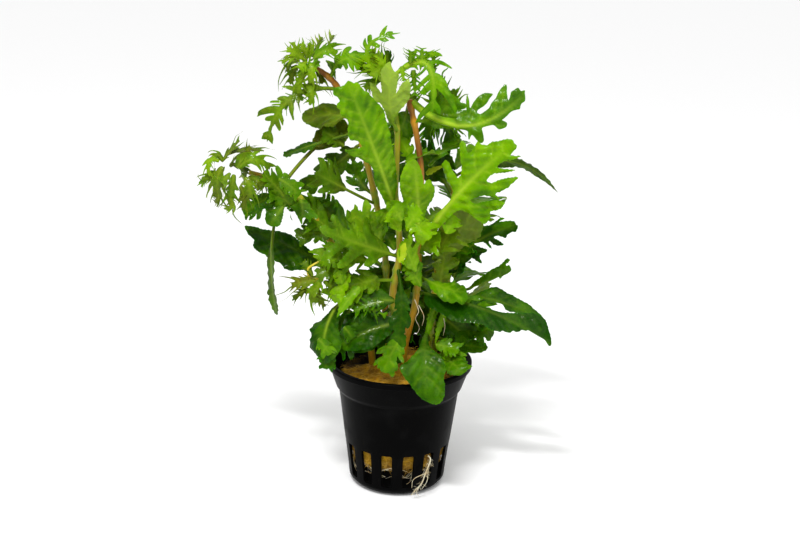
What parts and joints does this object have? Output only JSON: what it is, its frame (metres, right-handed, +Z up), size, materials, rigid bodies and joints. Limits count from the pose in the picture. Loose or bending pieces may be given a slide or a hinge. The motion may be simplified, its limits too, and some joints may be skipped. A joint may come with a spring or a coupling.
{
  "type": "potted water wisteria",
  "caption": "Bushy aquarium plant with upright stems and lobed, toothed and finely cut green leaves, rooted in rock wool in a small slotted plant pot.",
  "frame": {"origin": "centre of the pot's foot, on the surface that it stands on", "axes": "+Z up along the pot's axis, -Y the side that the picture shows, +X to that view's right"},
  "size_m": [0.129, 0.076, 0.1743],
  "materials": {
    "black_plastic": "satin black, moulded",
    "rock_wool": "wet, fibrous, orange-brown",
    "stem_skin": "smooth green to red-brown skin",
    "root_skin": "wet off-white",
    "leaf_blade": "glossy green, paler below",
    "young_leaf": "yellow-green, satin"
  },
  "bodies": {
    "root": {"pot": "black_plastic", "rock_wool": "rock_wool", "stem_red_centre": "stem_skin", "stem_front": "stem_skin", "stem_upper_left": "stem_skin", "stem_left": "stem_skin", "stem_low_left_shoot": "stem_skin", "stem_right": "stem_skin", "stem_right_back": "stem_skin", "root_hanging_outside": "root_skin", "leaf_top_pale_underside": "leaf_blade", "leaf_top_arching_right": "leaf_blade", "leaf_top_curled": "leaf_blade", "leaf_right_arching": "leaf_blade", "leaf_behind_red_stem": "leaf_blade", "leaf_lobed_behind_arch": "leaf_blade", "leaf_large_front": "leaf_blade", "leaf_olive_upper_left": "leaf_blade", "leaf_dark_upper_left": "leaf_blade", "leaf_small_twig": "leaf_blade", "leaf_dark_diagonal": "leaf_blade", "leaf_left_long_stalk": "leaf_blade", "leaf_behind_large": "leaf_blade", "leaf_upper_left_running_right": "leaf_blade", "leaf_upper_left_drooping": "leaf_blade", "leaf_left_bright": "leaf_blade", "leaf_left_toothed": "leaf_blade", "leaf_left_bright_inner": "leaf_blade", "leaf_left_hanging": "leaf_blade", "leaf_left_dark_glossy": "leaf_blade", "leaf_left_pinnate": "leaf_blade", "leaf_left_pinnate_lower": "leaf_blade", "leaf_low_left_curled": "leaf_blade", "leaf_low_front": "leaf_blade", "leaf_low_centre": "leaf_blade", "leaf_low_behind": "leaf_blade", "leaf_centre_front": "leaf_blade", "leaf_over_rim": "leaf_blade", "leaf_right_large": "leaf_blade", "leaf_right_bronze": "leaf_blade", "leaf_right_dark_lobed": "leaf_blade", "leaf_right_dark_narrow": "leaf_blade", "leaf_right_drooping": "leaf_blade", "leaf_right_drooping_back": "leaf_blade", "leaf_right_narrow": "leaf_blade", "leaf_right_olive": "leaf_blade", "leaf_right_glossy": "leaf_blade", "leaf_low_right": "leaf_blade", "leaf_low_right_upper": "leaf_blade", "leaf_rim_right": "leaf_blade", "leaf_dark_right_behind": "leaf_blade", "leaf_back_left": "leaf_blade", "leaf_back_right": "leaf_blade", "leaf_back_high": "leaf_blade", "leaf_back_low": "leaf_blade", "young_leaves_upper_left": "young_leaf", "young_leaves_left": "young_leaf", "young_leaves_top": "young_leaf", "young_leaves_low_left": "young_leaf", "young_leaves_right": "young_leaf"}
  },
  "joints": []
}
